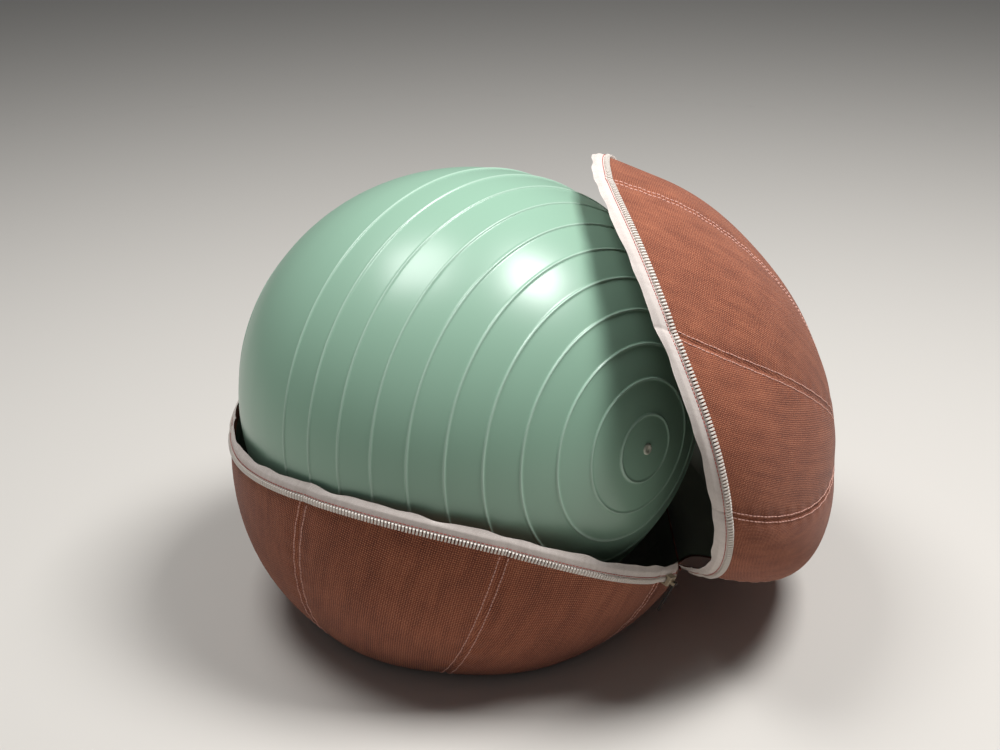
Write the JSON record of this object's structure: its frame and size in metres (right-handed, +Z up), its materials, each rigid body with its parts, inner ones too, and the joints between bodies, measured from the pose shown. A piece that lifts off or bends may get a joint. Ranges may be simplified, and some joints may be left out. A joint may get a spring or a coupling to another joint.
{
  "type": "ball pouf",
  "caption": "Inflated exercise ball in a gored woven cover that opens on a long zip, the upper half folded back on its hinge fold.",
  "frame": {"origin": "On the floor, under the centre of the cover's sphere.", "axes": "+X points to the fold line that joins the halves, +Y away from the picture's camera, +Z up."},
  "size_m": [0.7307, 0.5882, 0.5434],
  "materials": {
    "ball": "satin",
    "valve": "matte",
    "cover_cloth": "coarse weave",
    "base_cloth": "coarse weave",
    "binding": "ribbed tape",
    "lining": "smooth coated back",
    "zip_tape": "woven tape",
    "zip_teeth": "moulded",
    "end_tab": "coarse weave",
    "slider": "satin",
    "pull": "matte"
  },
  "bodies": {
    "lower_cover": {"lower_panel_1": "cover_cloth", "lower_panel_2": "cover_cloth", "lower_panel_3": "cover_cloth", "lower_panel_4": "cover_cloth", "lower_panel_5": "cover_cloth", "lower_panel_6": "cover_cloth", "lower_panel_7": "cover_cloth", "lower_panel_8": "cover_cloth", "lower_end_panel": "base_cloth", "lower_end_ring": "binding", "lower_rim_facing": "lining", "lower_zip_tape": "zip_tape", "lower_zip_teeth": "zip_teeth", "zip_stops": "zip_teeth", "zip_end_tabs": "end_tab", "hinge_gusset": "cover_cloth", "fold_piping": "cover_cloth", "slider_body": "slider", "ball_skin": "ball", "valve_socket": "valve", "valve_plug": "valve"},
    "upper_cover": {"upper_panel_1": "cover_cloth", "upper_panel_2": "cover_cloth", "upper_panel_3": "cover_cloth", "upper_panel_4": "cover_cloth", "upper_panel_5": "cover_cloth", "upper_panel_6": "cover_cloth", "upper_panel_7": "cover_cloth", "upper_panel_8": "cover_cloth", "upper_rim_facing": "lining", "upper_zip_tape": "zip_tape", "upper_zip_teeth": "zip_teeth"},
    "upper_crown": {"upper_end_panel": "cover_cloth", "upper_end_ring": "binding"},
    "zip_pull": {"slider_pull": "pull"}
  },
  "joints": [
    {"name": "cover_fold", "type": "hinge", "parent": "lower_cover", "child": "upper_cover", "pos_m": [0.23928, 0, 0.09806], "axis": [0, 1, 0], "range_deg": [-78.3, 8], "deforming": ["ball_skin", "hinge_gusset"]},
    {"name": "crown_rise", "type": "slide", "parent": "upper_cover", "child": "upper_crown", "axis": [0.7707, 0, 0.6372], "range_m": [-0.0196, 0.1904], "deforming": ["upper_panel_1", "upper_panel_2", "upper_panel_3", "upper_panel_4", "upper_panel_5", "upper_panel_6", "upper_panel_7", "upper_panel_8", "upper_rim_facing", "upper_zip_tape", "upper_zip_teeth"]},
    {"name": "pull_tab_swing", "type": "hinge", "parent": "lower_cover", "child": "zip_pull", "pos_m": [0.22896, -0.17396, 0.09813], "axis": [-0.4354, -0.8047, 0.4036], "range_deg": [0, 140]}
  ],
  "couplings": [
    {"joint": "crown_rise", "follows": "cover_fold", "m_per_rad": -0.13919}
  ]
}
